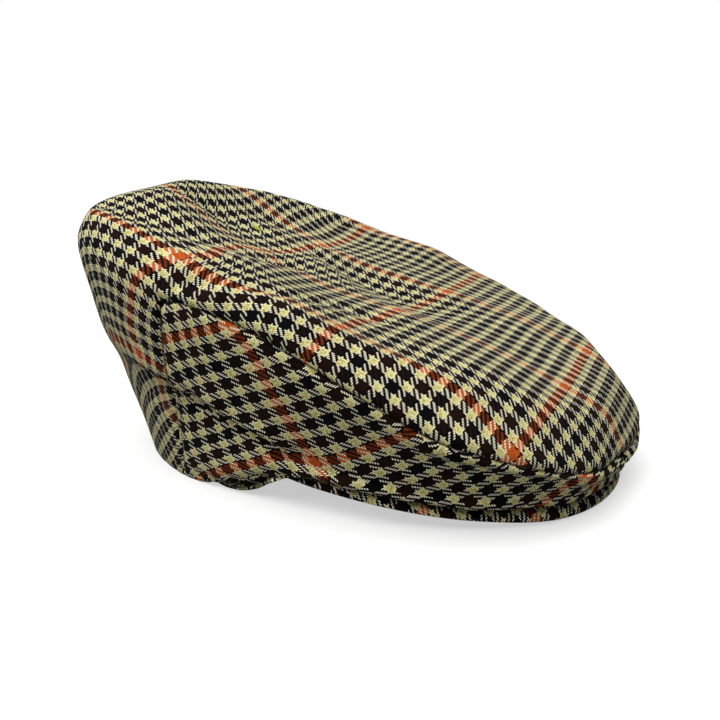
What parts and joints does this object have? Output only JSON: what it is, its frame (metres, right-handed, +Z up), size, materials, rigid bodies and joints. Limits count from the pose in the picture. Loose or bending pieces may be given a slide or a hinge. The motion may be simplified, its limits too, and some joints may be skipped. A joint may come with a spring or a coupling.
{
  "type": "flat cap",
  "caption": "Soft flat cap in checked tweed: one-piece top and back, two side panels and a stiff peak tucked under the front.",
  "frame": {"origin": "on the surface the cap rests on, under the middle of its box", "axes": "+X forward over the peak, +Y towards the wearer's left, +Z up"},
  "size_m": [0.2788, 0.2086, 0.1352],
  "materials": {
    "top_tweed": "wool tweed, gun-club houndstooth in cream, navy and brown with an orange windowpane",
    "side_tweed": "the same tweed, cut with its length along the side",
    "peak_tweed": "the same tweed drawn tight over a stiff board"
  },
  "bodies": {
    "root": {"top_panel": "top_tweed", "side_panel_right": "side_tweed", "side_panel_left": "side_tweed", "peak": "peak_tweed"}
  },
  "joints": []
}
